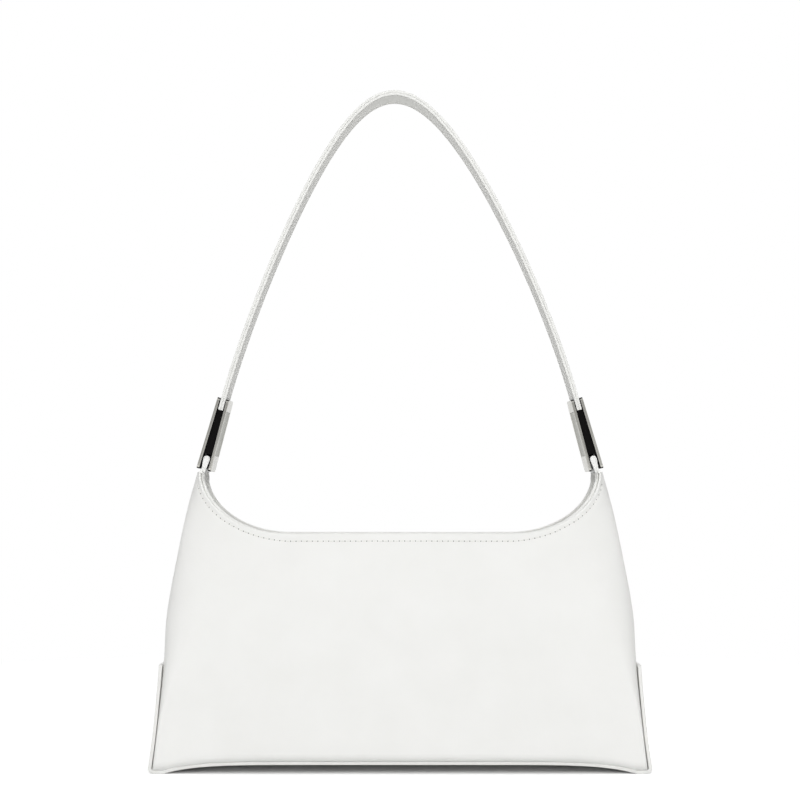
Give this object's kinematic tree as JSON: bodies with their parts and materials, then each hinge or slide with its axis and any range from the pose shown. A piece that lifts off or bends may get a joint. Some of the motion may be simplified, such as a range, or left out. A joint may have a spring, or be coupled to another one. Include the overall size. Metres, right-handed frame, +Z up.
{
  "type": "shoulder bag",
  "caption": "Trapezoid leather shoulder bag with an open top, horns at both ends, metal links and one arched strap.",
  "frame": {"origin": "centre of the bag's footprint on the floor, which is the bottom centre of its box", "axes": "+X along the bag to the picture's right, +Y from the front to the back, +Z up"},
  "size_m": [0.2806, 0.08, 0.3885],
  "materials": {
    "outer_leather": "smooth white, faint grain, satin",
    "facing_leather": "smooth white, matt",
    "lining_cloth": "woven cotton, matt",
    "board": "pressed fibre board",
    "nickel": "polished nickel plate",
    "dark_core": "gloss black",
    "thread": "waxed polyester thread"
  },
  "bodies": {
    "bag": {"front_panel": "outer_leather", "back_panel": "outer_leather", "base_panel": "outer_leather", "base_board": "board", "front_facing": "facing_leather", "back_facing": "facing_leather", "front_lining": "lining_cloth", "back_lining": "lining_cloth", "floor_lining": "lining_cloth", "snap_stud": "nickel", "snap_socket": "nickel", "front_rim_thread": "thread", "back_rim_thread": "thread"},
    "horns": {"left_horn": "outer_leather", "right_horn": "outer_leather", "left_tab": "outer_leather", "right_tab": "outer_leather"},
    "left_link": {"left_outer_plate": "nickel", "left_inner_plate": "nickel", "left_core": "dark_core", "left_pin": "nickel", "left_clamp_pin": "nickel", "left_strap_end": "outer_leather"},
    "strap": {"strap_outer": "outer_leather", "strap_lining": "facing_leather", "strap_threads": "thread"},
    "right_link": {"right_outer_plate": "nickel", "right_inner_plate": "nickel", "right_core": "dark_core", "right_pin": "nickel", "right_clamp_pin": "nickel", "right_strap_end": "outer_leather"}
  },
  "joints": [
    {"name": "strap_fold", "type": "hinge", "parent": "bag", "child": "horns", "pos_m": [0, 0, 0.155], "axis": [1, 0, 0], "range_deg": [-30, 30]},
    {"name": "strap_sway", "type": "hinge", "parent": "horns", "child": "left_link", "pos_m": [-0.1109, 0, 0.1754], "axis": [0, 1, 0], "range_deg": [-8, 8]},
    {"name": "left_strap_bend", "type": "hinge", "parent": "left_link", "child": "strap", "pos_m": [-0.10079, 0, 0.21161], "axis": [0, 1, 0], "range_deg": [-9, 9]},
    {"name": "right_strap_bend", "type": "hinge", "parent": "strap", "child": "right_link", "pos_m": [0.10079, 0, 0.21161], "axis": [0, 1, 0], "range_deg": [-9, 9]}
  ],
  "couplings": [
    {"joint": "left_strap_bend", "follows": "strap_sway", "ratio": -1.1},
    {"joint": "right_strap_bend", "follows": "strap_sway", "ratio": 1.1}
  ]
}
